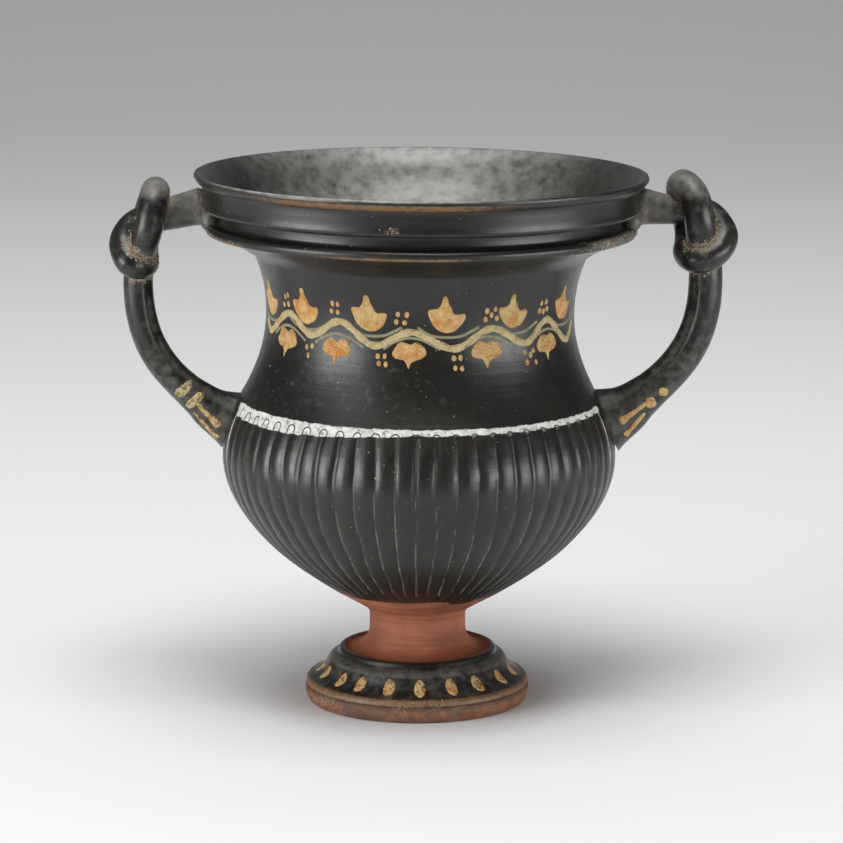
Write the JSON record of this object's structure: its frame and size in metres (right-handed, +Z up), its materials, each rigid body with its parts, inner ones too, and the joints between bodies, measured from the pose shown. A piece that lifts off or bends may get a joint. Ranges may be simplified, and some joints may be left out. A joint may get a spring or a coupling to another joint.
{
  "type": "kantharos",
  "caption": "Black-gloss pottery drinking cup with a flaring foot, a vertically ribbed bowl, a concave neck and two tall knotted loop handles.",
  "frame": {"origin": "centre of the bounding box on the plane that the foot rests on", "axes": "+Z up through the mouth, +X from the left handle to the right one, +Y away from the side shown in the picture"},
  "size_m": [0.1826, 0.1324, 0.1574],
  "materials": {
    "black_gloss": "satin",
    "bare_clay": "matte",
    "cream_slip": "matte",
    "deposit": "matte"
  },
  "bodies": {
    "root": {"kantharos": "black_gloss"}
  },
  "joints": []
}
